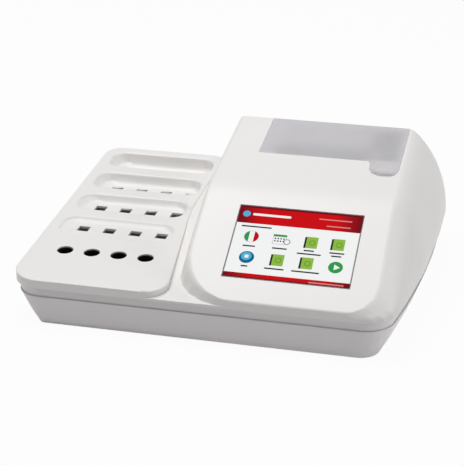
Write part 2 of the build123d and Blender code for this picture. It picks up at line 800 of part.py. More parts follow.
def scoop_bowl():
    """Finger scoop in front of the lid's tongue."""
    profile = Polyline(
        (0, 0, -scoop_depth),
        (0.5 * scoop_radius, 0, -0.88 * scoop_depth),
        (0.85 * scoop_radius, 0, -0.5 * scoop_depth),
        (scoop_radius, 0, 0),
        (scoop_radius, 0, 2 * scoop_depth),
        (0, 0, 2 * scoop_depth),
        close=True,
    )
    return lid_frame * Pos(scoop_x, scoop_v, 0) * revolve(make_face(profile), Axis.Z)


def scoop_shell():
    """The scoop's wall under the roof."""
    height = scoop_depth + wall
    cone = Cone(0.6 * scoop_radius + wall, scoop_radius + wall, height, align=HANGING)
    return lid_frame * Pos(scoop_x, scoop_v, 0) * cone


def bay_opening():
    """Mouth of the printer bay, inside the ledge that carries the lid."""
    low_z = roof_height(lid_front_y) - lid_thickness - 2 * wall
    mouth_y = lid_front_y + lid_ledge
    mouth = block(lid_left + lid_ledge, lid_right - lid_ledge, mouth_y, hinge_y, low_z, plenty)
    half = roll_width / 2 + slot_margin
    return mouth + block(roll_x - half, roll_x + half, lid_front_y - lid_gap, mouth_y + 1, low_z, plenty)


def hinge_ears():
    """Two plates beside the lid that hold the hinge pins."""
    ears = []
    for left in (lid_left - lid_gap - hinge_ear_width, lid_right + lid_gap):
        ears.append(block(
            left, left + hinge_ear_width, hinge_y - hinge_ear_reach, hinge_y + hinge_relief,
            hinge_z - hinge_ear_reach, plenty,
        ))
    return ears[0] + ears[1]


def make_top_cover():
    """Right moulding: the valley floor and the pod, with its display window, lid recess and printer bay."""
    pod = pod_solid()
    plinth = valley(0.0) - extrude(Pos(0, 0, parting_z - 1) * deck_outline(-seat_gap), roof_top_z)
    cover = plinth + pod - pod_hollow(parting_z - 0.5) - valley(wall)
    for x, y in pod_points:
        cover += screw_boss(x, y, pod)
        cover -= post(screw_radius + bore_play, x, y, boss_top, screw_tip_z + 0.6)
    cover += panel_frame * panel_bosses()
    cover -= panel_frame * Box(screen_width + 2 * fit_gap, screen_height + 2 * fit_gap, 20)
    ledge = under_roof(wall / 2) - under_roof(lid_thickness + wall)
    cover += ledge & lid_plan(lid_gap + wall, hinge_y + hinge_relief + wall) & pod
    cover += (hinge_ears() + scoop_shell()) & pod
    cover -= lid_plan(lid_gap, hinge_y) - under_roof(lid_thickness + seat_gap)
    cover -= bay_opening()
    cover -= rod(hinge_relief, lid_left - lid_gap, lid_right + lid_gap, hinge_y, hinge_z)
    pin_end = lid_gap + hinge_ear_width + fit_gap
    cover -= rod(hinge_pin_radius + bore_play, lid_left - pin_end, lid_right + pin_end, hinge_y, hinge_z)
    cover -= scoop_bowl()
    return cover


# Stack behind the display window, measured inwards from the panel's surface
glass_back = screen_sink + glass_thickness
lcd_face = wall + gasket_thickness
lcd_back = lcd_face + lcd_thickness
bracket_back = lcd_back + bracket_thickness
panel_boss_x = screen_width / 2 + lcd_margin + fit_gap + panel_boss_radius
panel_boss_y = screen_height / 2 - 1.0
panel_corners = [(sx * panel_boss_x, sy * panel_boss_y) for sx in (-1, 1) for sy in (-1, 1)]


def panel_bosses():
    """Screw bosses on the back of the panel, in its own frame."""
    bosses = []
    for x, y in panel_corners:
        boss = Pos(x, y, -lcd_back) * Cylinder(panel_boss_radius, lcd_back - wall + 0.5, align=STANDING)
        hole = Cylinder(panel_screw_radius + bore_play, lcd_back - 1.3 * wall, align=STANDING)
        boss -= Pos(x, y, -lcd_back) * hole
        bosses.append(boss)
    return Part() + bosses


def panel_plate(width, height, front, back, corner=0.0):
    """A plate parallel to the panel, between two depths under its surface."""
    plate = Pos(0, 0, -back) * Box(width, height, back - front, align=STANDING)
    if corner > 0:
        plate = fillet(plate.edges().filter_by(Axis.Z), corner)
    return plate


def make_touch_glass():
    """Cover glass of the display, a little under the panel's surface."""
    return panel_frame * panel_plate(screen_width, screen_height, screen_sink, glass_back, glass_corner)


def make_lcd_module():
    """Display module: a front that fills the window and a wider body behind the cover's wall."""
    front = panel_plate(screen_width, screen_height, glass_back, lcd_face)
    body = panel_plate(screen_width + 2 * lcd_margin, screen_height + 2 * lcd_margin, lcd_face, lcd_back)
    return panel_frame * (front + body)


def make_display_gasket():
    """Foam ring between the display module and the cover's wall."""
    outer_width = screen_width + 2 * lcd_margin
    outer_height = screen_height + 2 * lcd_margin
    inner_width = outer_width - 2 * gasket_width
    inner_height = outer_height - 2 * gasket_width
    ring = panel_plate(outer_width, outer_height, wall, lcd_face)
    ring -= panel_plate(inner_width, inner_height, wall - 1, lcd_face + 1)
    return panel_frame * ring


def make_display_bracket():
    """Sheet frame that presses the display module forwards, with a hole at each screw."""
    width = 2 * (panel_boss_x + panel_boss_radius + 1.0)
    height = 2 * (panel_boss_y + panel_boss_radius + 1.0)
    plate = panel_plate(width, height, lcd_back, bracket_back, bracket_corner)
    inner_width = screen_width - 2 * bracket_overlap
    inner_height = screen_height - 2 * bracket_overlap
    plate -= panel_plate(inner_width, inner_height, lcd_back - 1, bracket_back + 1)
    for x, y in panel_corners:
        plate -= Pos(x, y, -bracket_back) * Cylinder(panel_screw_radius + fit_gap, 8)
    return panel_frame * plate


def screw(head_radius, head_height, radius, length):
    """A screw that points up, with its hexagonal head under the origin. Its shank has eight sides."""
    head = extrude(RegularPolygon(head_radius, 6), -head_height)
    return head + extrude(Pos(0, 0, -head_height / 2) * RegularPolygon(radius, 8), length + head_height / 2)


def make_display_screws():
    """Four screws through the bracket into the cover's bosses."""
    one = screw(panel_head_radius, panel_head_height, panel_screw_radius, panel_screw_length)
    return Compound(children=[panel_frame * Pos(x, y, -bracket_back) * one for x, y in panel_corners])


def make_printer_lid():
    """Smoked lid over the printer, with a finger tongue at its front right and knuckles at its rear."""
    skin = under_roof(0.0) - under_roof(lid_thickness)
    lid = skin & lid_plan(0.0, hinge_y)
    lid += skin & rod(hinge_sweep, lid_left, lid_right, hinge_y, hinge_z)
    under = under_roof(lid_thickness / 2)
    for left in (lid_left + fit_gap, lid_right - fit_gap - knuckle_length):
        right = left + knuckle_length
        lid += block(left, right, hinge_y - web_front, hinge_y + web_back, hinge_z, plenty) & under
        lid += rod(hinge_barrel_radius, left, right, hinge_y, hinge_z)
    lid -= rod(hinge_pin_radius + bore_play, lid_left - 1, lid_right + 1, hinge_y, hinge_z)
    return lid


def make_lid_hinge_pins():
    """Two short steel pins on one axis."""
    reach = lid_gap + hinge_ear_width
    return Compound(children=[
        rod(hinge_pin_radius, lid_left - reach, lid_left + knuckle_length, hinge_y, hinge_z),
        rod(hinge_pin_radius, lid_right - knuckle_length, lid_right + reach, hinge_y, hinge_z),
    ])


# Printer, in the lid's frame: X, V backwards along the lid, N out of it
flange_n = -(lid_thickness + wall + seat_gap)
shelf_n = -shelf_depth
cradle_n = -cradle_depth
cradle_front = cradle_reach - cradle_radius
cradle_back = cradle_reach + cradle_radius
roll_start = roll_x - roll_width / 2
roll_end = roll_x + roll_width / 2
roll_n = cradle_n - (cradle_radius - roll_radius) + fit_gap
platen_n = -platen_depth
pinion_distance = gear_module * (platen_teeth + pinion_teeth) / 2
pinion_v = platen_reach + pinion_distance * cos(radians(mesh_angle))
pinion_n = platen_n + pinion_distance * sin(radians(mesh_angle))
frame_left = roll_start - frame_margin_left
frame_right = roll_end + frame_margin_right
gear_x = frame_right + sheet + gear_play
motor_plate_x = gear_x + gear_width + motor_play
base_n = shelf_n + seat_gap
head_back = platen_reach - platen_radius - head_gap
head_low_n = base_n + sheet + seat_gap


def make_printer_tray():
    """Moulded tray under the bay: a flange ring, a half-round cradle and a shelf for the print unit."""
    hole_right = lid_right - lid_ledge - 1.0
    left = roll_start - cradle_end_play
    right = roll_end + cradle_end_play
    outer_left = left - tray_wall
    outer_right = right + tray_wall
    low_n = shelf_n - tray_wall
    shelf_left = frame_left - tray_wall - 0.5
    tray = block(lid_left - 1.5, lid_right + 0.5, -tray_wall, tray_length, flange_n - tray_wall, flange_n)
    outer_front = cradle_front - tray_wall
    tray += block(outer_left, outer_right, outer_front, cradle_back + tray_wall, cradle_n, flange_n)
    tray += rod(cradle_radius + tray_wall, outer_left, outer_right, cradle_reach, cradle_n)
    tray += block(shelf_left, motor_plate_x - shelf_setback, -tray_wall, cradle_front, low_n, shelf_n)
    tray += block(shelf_left, hole_right, -tray_wall, 0.0, low_n, flange_n)
    tray -= block(left, right, cradle_front, cradle_back, cradle_n, 0)
    tray -= rod(cradle_radius, left, right, cradle_reach, cradle_n)
    tray -= block(frame_left - 0.5, hole_right, 0.0, cradle_front, shelf_n, 0)
    tray -= block(right + tray_wall, hole_right, 0.0, cradle_back, shelf_n, 0)
    tray -= block(left, right, outer_front - 1, cradle_front + 1, paper_gate_n, 0)
    return lid_frame * tray


def make_printer_frame():
    """Bent steel frame: two cheeks for the platen's shaft, a third plate for the motor, and a base."""
    low_v = seat_gap + 0.2
    frame = block(frame_left, motor_plate_x + sheet, low_v, base_width, base_n, base_n + sheet)
    for x in (frame_left, frame_right):
        frame += block(x, x + sheet, low_v, cradle_front - fit_gap, base_n, cheek_top_n)
    back_v = pinion_v + motor_radius + 1.0
    frame += block(motor_plate_x, motor_plate_x + sheet, low_v, back_v, base_n, cheek_top_n)
    frame += block(
        motor_plate_x, motor_plate_x + sheet, base_width, back_v, pinion_n - motor_radius - 0.5, cheek_top_n
    )
    cheeks_right = frame_right + sheet + 0.5
    plate_right = motor_plate_x + sheet + 1
    frame -= rod(platen_shaft_radius + bore_play, frame_left - 1, cheeks_right, platen_reach, platen_n)
    frame -= rod(motor_shaft_radius + fit_gap, motor_plate_x - 1, plate_right, pinion_v, pinion_n)
    return lid_frame * frame


def sleeve(radius, bore, left, right, v, n):
    """A tube along X in the lid's frame."""
    return lid_frame * (rod(radius, left, right, v, n) - rod(bore, left - 1, right + 1, v, n))


def make_platen_roller():
    """Rubber sleeve that drives the paper past the print head."""
    bore = platen_shaft_radius + press_play
    return sleeve(platen_radius, bore, roll_start, roll_end, platen_reach, platen_n)


def make_platen_shaft():
    """Steel shaft of the platen."""
    end = gear_x + gear_width
    return lid_frame * rod(platen_shaft_radius, frame_left - sheet, end, platen_reach, platen_n)


def involute(angle):
    """Involute function."""
    return tan(angle) - angle


def spur_gear(teeth, bore, turn):
    """Spur gear along X with involute flanks, with one tooth at the given angle."""
    pitch_radius = gear_module * teeth / 2
    base_radius = pitch_radius * cos(radians(20))
    tip = pitch_radius + 0.9 * gear_module
    root = pitch_radius - 1.2 * gear_module
    start = max(base_radius, root)
    half = pi / (2 * teeth) - tooth_backlash / (2 * pitch_radius)
    flank = []
    for step in range(flank_steps + 1):
        radius = start + (tip - start) * step / flank_steps
        spread = half - involute(acos(min(base_radius / radius, 1.0))) + involute(radians(20))
        flank.append((radius, spread))
    flank.insert(0, (root, flank[0][1]))
    points = []
    for tooth in range(teeth):
        centre = radians(turn) + 2 * pi * tooth / teeth
        for radius, spread in flank:
            points.append((radius * cos(centre - spread), radius * sin(centre - spread)))
        for radius, spread in reversed(flank):
            points.append((radius * cos(centre + spread), radius * sin(centre + spread)))
    gear = extrude(make_face(Polyline(*points, close=True)), gear_width) - Cylinder(bore, 3 * gear_width)
    return Rot(0, 90, 0) * Rot(0, 0, 90) * gear


def make_platen_gear():
    """Nylon gear on the right end of the platen's shaft."""
    gear = spur_gear(platen_teeth, platen_shaft_radius + press_play, mesh_angle)
    return lid_frame * Pos(gear_x, platen_reach, platen_n) * gear


def make_motor_pinion():
    """Pinion on the motor's shaft, in mesh with the platen's gear."""
    gear = spur_gear(pinion_teeth, motor_shaft_radius + press_play, mesh_angle + 180 + 180 / pinion_teeth)
    return lid_frame * Pos(gear_x, pinion_v, pinion_n) * gear


def make_motor_shaft():
    """Shaft of the stepper motor."""
    end = motor_plate_x + sheet + motor_length / 2
    return lid_frame * rod(motor_shaft_radius, gear_x, end, pinion_v, pinion_n)


def make_printer_motor():
    """Can of the stepper motor, on its plate."""
    start = motor_plate_x + sheet
    motor = rod(motor_radius, start, start + motor_length, pinion_v, pinion_n)
    motor -= rod(motor_shaft_radius + bore_play, start - 1, start + motor_length / 2 + 1, pinion_v, pinion_n)
    return lid_frame * motor


def make_print_head():
    """Ceramic print head in front of the platen, with its heater line against the paper."""
    high_n = head_low_n + head_height
    return lid_frame * block(
        roll_start + 0.5, roll_end - 0.5, head_back - head_thickness, head_back, head_low_n, high_n
    )


def make_head_sink():
    """Aluminium heat sink behind the print head, with ribs."""
    left = roll_start + 0.5
    back = head_back - head_thickness
    front = back - head_thickness
    high_n = head_low_n + head_height - 1.5
    sink = block(left, roll_end - 0.5, front, back, head_low_n, high_n)
    pitch = (roll_width - 1.0) / sink_ribs
    groove_back = front + head_thickness / 2
    for rib in range(sink_ribs):
        x = left + pitch * (rib + 0.35)
        sink -= block(x, x + 0.3 * pitch, front - 0.1, groove_back, head_low_n - 1, high_n - 1.5)
    return lid_frame * sink


def make_tear_bar():
    """Toothed steel strip where the paper leaves."""
    pitch = (roll_width - 1.0) / bar_teeth
    left = roll_start + 0.5
    right = left + pitch * bar_teeth
    points = [(left, -bar_height)]
    for tooth in range(bar_teeth):
        points.append((left + pitch * tooth, -bar_root_depth))
        points.append((left + pitch * (tooth + 0.5), -bar_tip_depth))
    points += [(right, -bar_root_depth), (right, -bar_height)]
    strip = extrude(Plane.XZ * make_face(Polyline(*points, close=True)), -bar_thickness)
    return lid_frame * strip


def make_paper_roll():
    """Roll of thermal paper."""
    return sleeve(roll_radius, core_radius + press_play, roll_start, roll_end, cradle_reach, roll_n)


def make_roll_core():
    """Card tube in the paper roll."""
    return sleeve(core_radius, core_radius - core_wall, roll_start, roll_end, cradle_reach, roll_n)


def make_cuvette_rail(row_y):
    """Rail of four heated aluminium blocks in a row, each with a square well."""
    front = row_y - rail_half_width
    back = row_y + rail_half_width
    high_z = trough_floor_z - strip_thickness - seat_gap
    half = window_size / 2 + well_play
    blocks = []
    for x in column_xs:
        cup = block(x - rail_end, x + rail_end, front, back, rail_low_z, high_z)
        blocks.append(cup - block(x - half, x + half, row_y - half, row_y + half, well_floor_z, high_z + 1))
    return Compound(children=blocks)


def make_heater_plate():
    """Aluminium plate that carries the four rails and spreads the heat."""
    plate = block(plate_left, plate_right, plate_front, plate_back, plate_low_z, rail_low_z)
    for x, y in deck_points:
        plate -= post(boss_radius + 0.5, x, y, plate_low_z - 1, rail_low_z + 1)
    return plate


def make_heater_pad():
    """Silicone heater stuck under the plate."""
    margin = 2 * plate_corner
    back = incubation_ys[2] + rail_half_width + plate_corner
    return block(plate_left + margin, plate_right - margin, plate_front + margin, back, pad_z, plate_low_z)


def make_reading_cells():
    """Four black cells with a round well, a collar that rises into the deck's hole, and a beam across."""
    cells = []
    half = beam_width / 2
    pocket = chip_width / 2 + fit_gap
    for x in column_xs:
        cell = block(x - cell_half_width, x + cell_half_width, cell_front, cell_back, cell_low_z, cell_top_z)
        cell += post(reading_bore_radius + collar_wall, x, reading_y, cell_top_z - 1, collar_top_z)
        cell -= post(reading_bore_radius, x, reading_y, bore_floor_z, collar_top_z + 1)
        cell -= block(x - half, x + half, cell_front - 1, cell_back + 1, beam_z - half, beam_z + half)
        for y in (cell_front, cell_back):
            cell -= Pos(x, y, beam_z) * Box(2 * pocket, 2 * chip_depth, 2 * pocket)
        cells.append(cell)
    return Compound(children=cells)


def optic_board(front):
    """Narrow circuit board on one side of the reading cells."""
    back = front + optic_board_thickness
    return block(cell_left + 1, cell_right - 1, front, back, cell_low_z + 2, cell_top_z - 4)


def make_led_board():
    """Board with the light sources, behind the reading cells."""
    return optic_board(cell_back)


def make_detector_board():
    """Board with the photodiodes, in front of the reading cells."""
    return optic_board(cell_front - optic_board_thickness)


def chips(front, back):
    """Four square components in the pockets of the reading cells."""
    half = chip_width / 2
    return Compound(children=[
        block(x - half, x + half, front, back, beam_z - half, beam_z + half) for x in column_xs
    ])


def make_leds():
    """Four light sources, one for each reading well."""
    return chips(cell_back - chip_depth + fit_gap, cell_back)


def make_photodiodes():
    """Four detectors opposite the light sources."""
    return chips(cell_front, cell_front + chip_depth - fit_gap)


def make_main_board():
    """Main circuit board on four posts."""
    board = block(board_left, board_right, board_front, board_back, board_z, board_z + board_thickness)
    for x, y in board_posts:
        board -= post(board_screw_radius + fit_gap, x, y, 0, 2 * board_z)
    return board


def make_board_screws():
    """Four screws that hold the main board."""
    top = board_z + board_thickness
    length = top - floor_z - 0.5
    one = Rot(180, 0, 0) * screw(board_head_radius, board_head_height, board_screw_radius, length)
    return Compound(children=[Pos(x, y, top) * one for x, y in board_posts])


def make_board_parts():
    """Processor, memory, connectors, a relay and capacitors on the main board."""
    top = board_z + board_thickness
    parts = []
    for x, y, width, depth, height in board_blocks:
        left = board_left + x
        front = board_front + y
        parts.append(block(left, left + width, front, front + depth, top, top + height))
    for x, y, radius, height in board_cans:
        parts.append(post(radius, board_left + x, board_front + y, top, top + height))
    return Compound(children=parts)


def socket_block(x, half, tall, start, end):
    """A box round a connector's middle, from start to end behind the recess's back wall."""
    box = Box(2 * half, end - start, 2 * tall)
    return Pos(x, recess_y + (start + end) / 2, connector_z) * box


def make_power_jack():
    """Round low-voltage inlet with a flange outside the recess wall."""
    jack = rod_y(jack_radius, jack_x, connector_z, recess_y - jack_length, recess_y)
    jack += rod_y(jack_radius + jack_flange, jack_x, connector_z, recess_y, recess_y + jack_flange)
    jack -= rod_y(jack_bore, jack_x, connector_z, recess_y - jack_bore_depth, recess_y + 2 * jack_flange)
    return jack


rocker_y = recess_y - rocker_depth
cavity_half = rocker_width / 2 + rocker_play
cavity_tall = rocker_height / 2 + 0.5


def make_switch_housing():
    """Snap-in housing of the power switch."""
    body = socket_block(switch_x, switch_width / 2, switch_height / 2, -switch_length, 0)
    rim_half = switch_width / 2 + switch_rim
    body += socket_block(switch_x, rim_half, switch_height / 2 + switch_rim, 0, switch_rim)
    body -= socket_block(switch_x, cavity_half, cavity_tall, -switch_cavity_depth, switch_rim + 1)
    reach = cavity_tall + rocker_pin_length
    body -= post(rocker_pin_radius + bore_play, switch_x, rocker_y, connector_z - reach, connector_z + reach)
    return body


def make_power_rocker():
    """Rocker of the power switch, tipped to off."""
    half = rocker_width / 2
    face = rocker_depth + rocker_rise
    corners = [(-half, face), (0, face - 1.2), (half, face)]
    corners += [(half, 0.5), (2.5, -4.0), (-2.5, -4.0), (-half, 0.5)]
    rocker = extrude(make_face(Polyline(*corners, close=True)), rocker_height / 2, both=True)
    rocker += Cylinder(rocker_pin_radius, 2 * (cavity_tall + rocker_pin_length - 0.2))
    return Pos(switch_x, rocker_y, connector_z) * Rot(0, 0, -rocker_tilt) * rocker


def make_usb_socket():
    """Shell of a USB socket with its tongue."""
    half = usb_width / 2
    tall = usb_height / 2
    floor = 3.0 - usb_length
    socket = socket_block(usb_x, half, tall, -usb_length, usb_sheet)
    socket -= socket_block(usb_x, half - usb_sheet, tall - usb_sheet, floor, usb_sheet + 1)
    tongue = socket_block(usb_x, half - 2 * usb_sheet, usb_tongue / 2, floor - 0.5, -1)
    return socket + Pos(0, 0, usb_tongue / 2) * tongue


def make_rubber_feet():
    """Four rubber feet in shallow seats under the tub."""
    return Compound(children=[post(foot_radius, x, y, 0, foot_drop + foot_seat) for x, y in foot_points])


def make_case_screws():
    """Screws from below that hold the deck and the cover down."""
    one = screw(screw_head_radius, screw_head_height, screw_radius, screw_tip_z - screw_seat_z)
    return Compound(children=[Pos(x, y, screw_seat_z) * one for x, y in deck_points + pod_points])


pieces = {
    "base_tub": make_base_tub,
    "cell_deck": make_cell_deck,
    "trough_trays": make_trough_trays,
    "well_bezels": make_well_bezels,
    "top_cover": make_top_cover,
    "rubber_feet": make_rubber_feet,
    "case_screws": make_case_screws,
    "touch_glass": make_touch_glass,
    "lcd_module": make_lcd_module,
    "display_gasket": make_display_gasket,
    "display_bracket": make_display_bracket,
    "display_screws": make_display_screws,
    "printer_lid": make_printer_lid,
    "lid_hinge_pins": make_lid_hinge_pins,
    "printer_tray": make_printer_tray,
    "printer_frame": make_printer_frame,
    "platen_roller": make_platen_roller,
    "platen_shaft": make_platen_shaft,
    "platen_gear": make_platen_gear,
    "motor_pinion": make_motor_pinion,
    "motor_shaft": make_motor_shaft,
    "printer_motor": make_printer_motor,
    "print_head": make_print_head,
    "head_sink": make_head_sink,
    "tear_bar": make_tear_bar,
    "paper_roll": make_paper_roll,
    "roll_core": make_roll_core,
    "heater_plate": make_heater_plate,
    "heater_pad": make_heater_pad,
    "reading_cells": make_reading_cells,
    "led_board": make_led_board,
    "leds": make_leds,
    "detector_board": make_detector_board,
    "photodiodes": make_photodiodes,
    "main_board": make_main_board,
    "board_screws": make_board_screws,
    "board_parts": make_board_parts,
    "power_jack": make_power_jack,
    "switch_housing": make_switch_housing,
    "power_rocker": make_power_rocker,
    "usb_socket": make_usb_socket,
}

os.makedirs("parts", exist_ok=True)
for name, make in pieces.items():
    export_step(make(), "parts/" + name + ".step")
for row, row_y in enumerate(incubation_ys):
    export_step(make_cuvette_rail(row_y), "parts/cuvette_rail_" + str(row + 1) + ".step")
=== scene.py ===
# %% [markdown]
# # A palm oil analyser, dressed for its portrait
#
# The construction comes from the CAD frame: every case part, screw and shaft is already at its real size
# and place. This notebook gives the parts their finishes, smooths the moulded skins, lights the display
# and sets up the studio. Everything is in metres, with +X to the right, +Y to the back and +Z up.

# %% Load the frame
from math import cos, radians, sin

import bpy
from mathutils import Matrix, Vector


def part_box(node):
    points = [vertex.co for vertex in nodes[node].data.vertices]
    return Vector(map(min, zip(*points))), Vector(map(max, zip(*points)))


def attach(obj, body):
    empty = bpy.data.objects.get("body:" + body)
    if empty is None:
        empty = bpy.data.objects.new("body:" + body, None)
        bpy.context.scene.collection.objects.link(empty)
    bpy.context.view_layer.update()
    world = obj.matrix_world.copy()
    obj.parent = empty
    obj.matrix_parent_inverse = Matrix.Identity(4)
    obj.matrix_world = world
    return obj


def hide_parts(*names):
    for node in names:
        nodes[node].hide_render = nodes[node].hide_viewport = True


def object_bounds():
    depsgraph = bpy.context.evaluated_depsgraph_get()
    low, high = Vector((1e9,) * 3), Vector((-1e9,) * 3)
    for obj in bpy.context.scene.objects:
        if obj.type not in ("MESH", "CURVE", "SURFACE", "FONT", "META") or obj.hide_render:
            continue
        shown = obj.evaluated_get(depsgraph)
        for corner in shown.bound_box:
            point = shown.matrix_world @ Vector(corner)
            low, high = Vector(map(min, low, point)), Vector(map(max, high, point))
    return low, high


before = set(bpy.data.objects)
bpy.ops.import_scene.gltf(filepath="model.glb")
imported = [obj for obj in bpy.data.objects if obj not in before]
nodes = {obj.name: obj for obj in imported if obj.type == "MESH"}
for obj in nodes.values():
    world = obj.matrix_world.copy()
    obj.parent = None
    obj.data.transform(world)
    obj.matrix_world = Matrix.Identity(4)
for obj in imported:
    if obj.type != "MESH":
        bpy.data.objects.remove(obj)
cad_low, cad_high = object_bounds()
mm = 0.001
print("frame of", len(nodes), "nodes,", [round(side / mm) for side in cad_high - cad_low], "mm")

# %% [markdown]
# ## The camera
#
# The picture was taken from in front, a little to the right and above, with a long lens, so the case shows
# hardly any converging lines. A camera in Blender is placed the same way: where it stands, how far it is
# turned and tipped, and its focal length. That length is worked out from pixels, because that is how a
# photograph is measured. Blender lays the sensor's width along the longer side of the picture, which is its
# height here.

# %% Camera
picture_height = 466
focal_pixels = 1450.5
sensor_width = 36.0
camera_place = Vector((0.2768, -1.2076, 0.5776))
camera_turn = 13.403
camera_tip = 23.454
camera_roll = 0.095

camera_data = bpy.data.cameras.new("camera")
camera = bpy.data.objects.new("camera", camera_data)
bpy.context.scene.collection.objects.link(camera)
bpy.context.scene.camera = camera
camera_data.sensor_width = sensor_width
camera_data.lens = focal_pixels / picture_height * sensor_width
camera.matrix_world = (
    Matrix.Translation(camera_place)
    @ Matrix.Rotation(radians(camera_turn), 4, "Z")
    @ Matrix.Rotation(radians(90 - camera_tip), 4, "X")
    @ Matrix.Rotation(radians(camera_roll), 4, "Z")
)
print("lens", round(camera_data.lens, 1), "mm")

# %% [markdown]
# ## Helpers for materials
#
# Colours are noted as hex values, as a paint card gives them. Blender's shaders count light, so each value
# goes through the sRGB curve once. One helper adds a node with its settings and links, which keeps the
# recipes below short. Every pattern is noise on Object coordinates, so it has a real size and stays on its
# part. A cell of noise holds about one light and one dark grain, so the scale follows from a grain's width.

# %% Colour and node helpers
# The Mix node has sockets for numbers, vectors and colours under the same names. These are the colours'.
mix_first = 6
mix_second = 7
mix_result = 2


def colour(hex_value):
    """Linear colour of an sRGB hex value."""
    channels = [int(hex_value[place:place + 2], 16) / 255 for place in (1, 3, 5)]
    linear = [c / 12.92 if c <= 0.04045 else ((c + 0.055) / 1.055) ** 2.4 for c in channels]
    return (*linear, 1.0)


def scale_of(grain_width):
    """Scale at which the grains of a noise texture come out this wide."""
    return 1 / (2 * grain_width)


def add(material, kind, settings=(), links=()):
    """A node with its input values, and its inputs linked from other nodes' outputs.

    A key is a socket's name, or its number where several sockets share a name.
    """
    node = material.node_tree.nodes.new(kind)
    for key, value in dict(settings).items():
        if isinstance(key, int) or key in node.inputs:
            node.inputs[key].default_value = value
        else:
            setattr(node, key, value)
    for key, output in dict(links).items():
        material.node_tree.links.new(output, node.inputs[key])
    return node


def new_material(name):
    """An empty node material and its output node."""
    material = bpy.data.materials.new(name)
    material.use_nodes = True
    material.node_tree.nodes.clear()
    return material, material.node_tree.nodes.new("ShaderNodeOutputMaterial")


def join_output(material, output, shader):
    """Links a shader to the material's surface."""
    material.node_tree.links.new(shader.outputs[0], output.inputs["Surface"])


print("half grey is", round(colour("#808080")[0], 3), "of the light of white")

# %% [markdown]
# ## Moulded ABS
#
# The case is white ABS from a spark-eroded mould. The mould leaves a grain of about a third of a
# millimetre, too fine to see as bumps from a metre away, but it spreads the highlights and gives the satin
# look. Noise at that scale drives a shallow bump. A slower noise varies the roughness, and by a trace the
# colour, as on any large moulding. One roughness all over would be simpler, but it looks drawn, not moulded.

# %% Moulded plastics
mould_grain = 0.35 * mm
mould_relief = 0.012 * mm
gloss_patch = 36 * mm
gloss_rise = 0.04
gloss_fall = 0.05
patch_shade = 0.985
abs_ior = 1.54


def moulded_plastic(name, shade, roughness):
    """Satin thermoplastic with the grain of a spark-eroded mould."""
    material, output = new_material(name)
    place = add(material, "ShaderNodeTexCoord")
    grain = add(
        material, "ShaderNodeTexNoise",
        {"Scale": scale_of(mould_grain), "Detail": 3.0, "Roughness": 0.6},
        {"Vector": place.outputs["Object"]},
    )
    bump = add(
        material, "ShaderNodeBump", {"Strength": 0.35, "Distance": mould_relief},
        {"Height": grain.outputs["Fac"]},
    )
    patches = add(
        material, "ShaderNodeTexNoise", {"Scale": scale_of(gloss_patch), "Detail": 2.0},
        {"Vector": place.outputs["Object"]},
    )
    satin = add(
        material, "ShaderNodeMapRange",
        {"To Min": roughness - gloss_rise, "To Max": roughness + gloss_fall},
        {"Value": patches.outputs["Fac"]},
    )
    paint = add(
        material, "ShaderNodeMix",
        {
            "data_type": "RGBA", mix_first: colour(shade),
            mix_second: (*(patch_shade * channel for channel in colour(shade)[:3]), 1.0),
        },
        {"Factor": patches.outputs["Fac"]},
    )
    shader = add(
        material, "ShaderNodeBsdfPrincipled", {"IOR": abs_ior},
        {
            "Base Color": paint.outputs[mix_result], "Roughness": satin.outputs["Result"],
            "Normal": bump.outputs["Normal"],
        },
    )
    join_output(material, output, shader)
    return material


# The tub's white is a touch cooler than the cover's, and the printer's tray is a light grey.
white_abs = moulded_plastic("white_abs_satin", "#F0EEEC", 0.42)
base_abs = moulded_plastic("base_abs_satin", "#EEEBED", 0.45)
tray_abs = moulded_plastic("tray_abs_satin", "#DEDCDD", 0.5)
# The switch and the power jack are black nylon, with a wide dull highlight.
black_nylon = moulded_plastic("black_nylon", "#16161A", 0.5)
print("mould grain", round(mould_grain / mm, 2), "mm wide")

# %% [markdown]
# ## Smoked lid
#
# The lid is a frosted, grey tinted polycarbonate: one sees that a paper roll lies below it, but no edges.
# About a third of the light is scattered back at the surface, which a satin plastic shader gives. The rest
# goes through and is spread on its way, which is what a translucent shader does, so the white roll below
# shows as a soft lighter patch. Clear glass with a high roughness would do it too, but needs many more
# samples to come out smooth.

# %% Smoked plastic
frost_grain = 0.23 * mm
frost_relief = 0.01 * mm
polycarbonate_ior = 1.58
share_through = 0.62


def smoked_plastic():
    """Grey frosted polycarbonate."""
    material, output = new_material("smoked_polycarbonate")
    place = add(material, "ShaderNodeTexCoord")
    grain = add(
        material, "ShaderNodeTexNoise", {"Scale": scale_of(frost_grain), "Detail": 2.0},
        {"Vector": place.outputs["Object"]},
    )
    bump = add(
        material, "ShaderNodeBump", {"Strength": 0.2, "Distance": frost_relief},
        {"Height": grain.outputs["Fac"]},
    )
    satin = add(
        material, "ShaderNodeBsdfPrincipled",
        {"Base Color": colour("#F2F1F3"), "Roughness": 0.32, "IOR": polycarbonate_ior},
        {"Normal": bump.outputs["Normal"]},
    )
    through = add(material, "ShaderNodeBsdfTranslucent", {"Color": colour("#FBFAFC")})
    mix = add(
        material, "ShaderNodeMixShader", {"Fac": share_through},
        {1: satin.outputs[0], 2: through.outputs[0]},
    )
    join_output(material, output, mix)
    return material


lid_plastic = smoked_plastic()
print("lid lets", share_through, "of the light through")

# %% [markdown]
# ## Metals
#
# The inner parts show only through wells, gaps and the open lid, but each still gets the finish of the real
# thing. A metal's colour is that of its highlight, so the shader is fully metallic. The tool leaves marks
# that spread the highlight unevenly: noise varies the roughness, and where the tool went to and fro it is
# drawn out into lines along X. Real marks are finer than the half millimetre used here, but wouldn't show.

